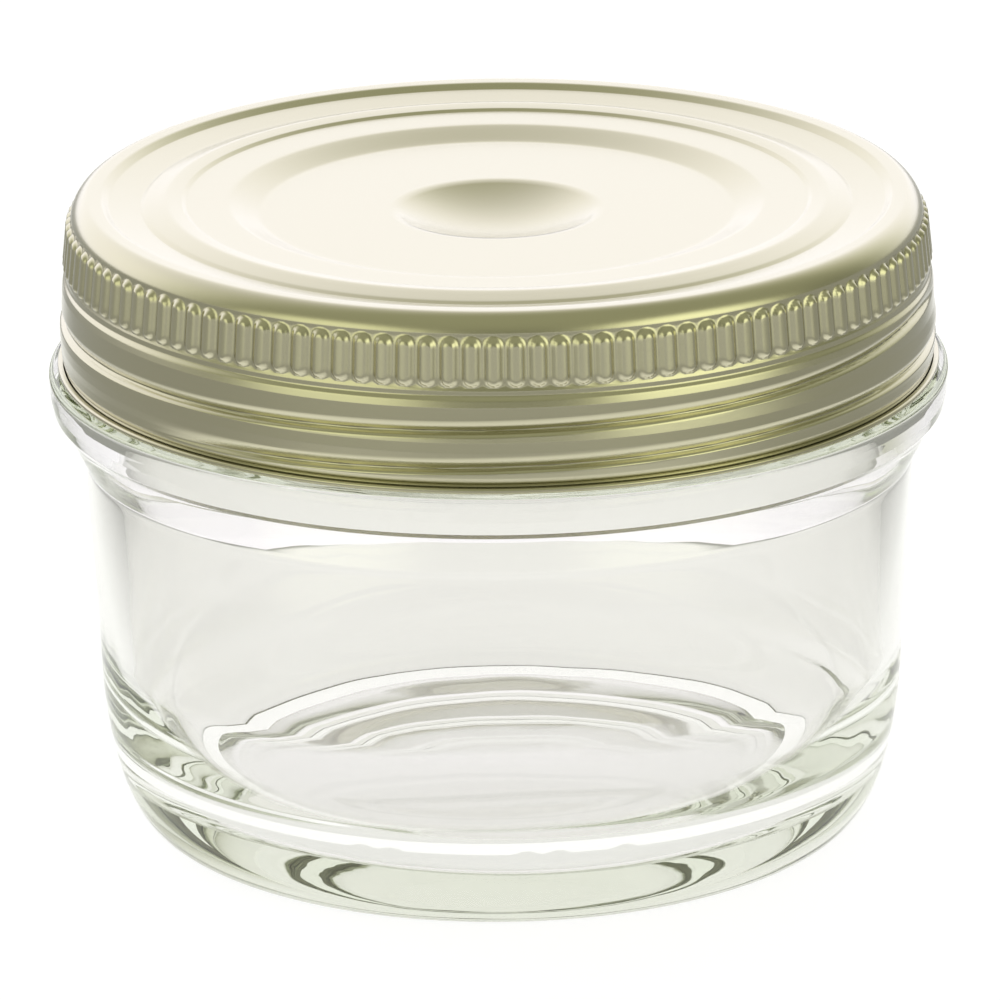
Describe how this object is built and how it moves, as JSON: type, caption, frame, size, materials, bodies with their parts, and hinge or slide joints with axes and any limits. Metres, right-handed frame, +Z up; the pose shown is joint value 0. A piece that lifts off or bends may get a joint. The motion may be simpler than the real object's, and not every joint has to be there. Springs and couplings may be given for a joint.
{
  "type": "glass jar",
  "caption": "Wide, low clear glass storage jar with a round flange, a gold-lacquered knurled screw cap and a loose sealing capsule with a gasket ring.",
  "frame": {"origin": "centre of the foot, on the surface that the jar stands on", "axes": "+Z up along the axis of the jar and its cap; -Y faces the viewer of the picture, +X is to the right"},
  "size_m": [0.1102, 0.1102, 0.0789],
  "materials": {
    "clear_glass": "clear, polished",
    "lacquered_tin": "satin lacquer on tinplate",
    "sealing_compound": "matte",
    "gold_lacquer": "satin pale gold lacquer on tinplate"
  },
  "bodies": {
    "jar": {"glass_jar": "clear_glass"},
    "lid": {"sealing_capsule": "lacquered_tin", "sealing_gasket": "sealing_compound"},
    "cap": {"screw_cap": "gold_lacquer"}
  },
  "joints": [
    {"name": "lid_lift", "type": "slide", "parent": "jar", "child": "lid", "axis": [0, 0, 1], "range_m": [0, 0.03]},
    {"name": "cap_turn", "type": "hinge", "parent": "lid", "child": "cap", "pos_m": [0, 0, 0.0684], "axis": [0, 0, 1], "range_deg": [0, 2160]}
  ],
  "couplings": [
    {"joint": "lid_lift", "follows": "cap_turn", "m_per_rad": 0.00079577}
  ]
}
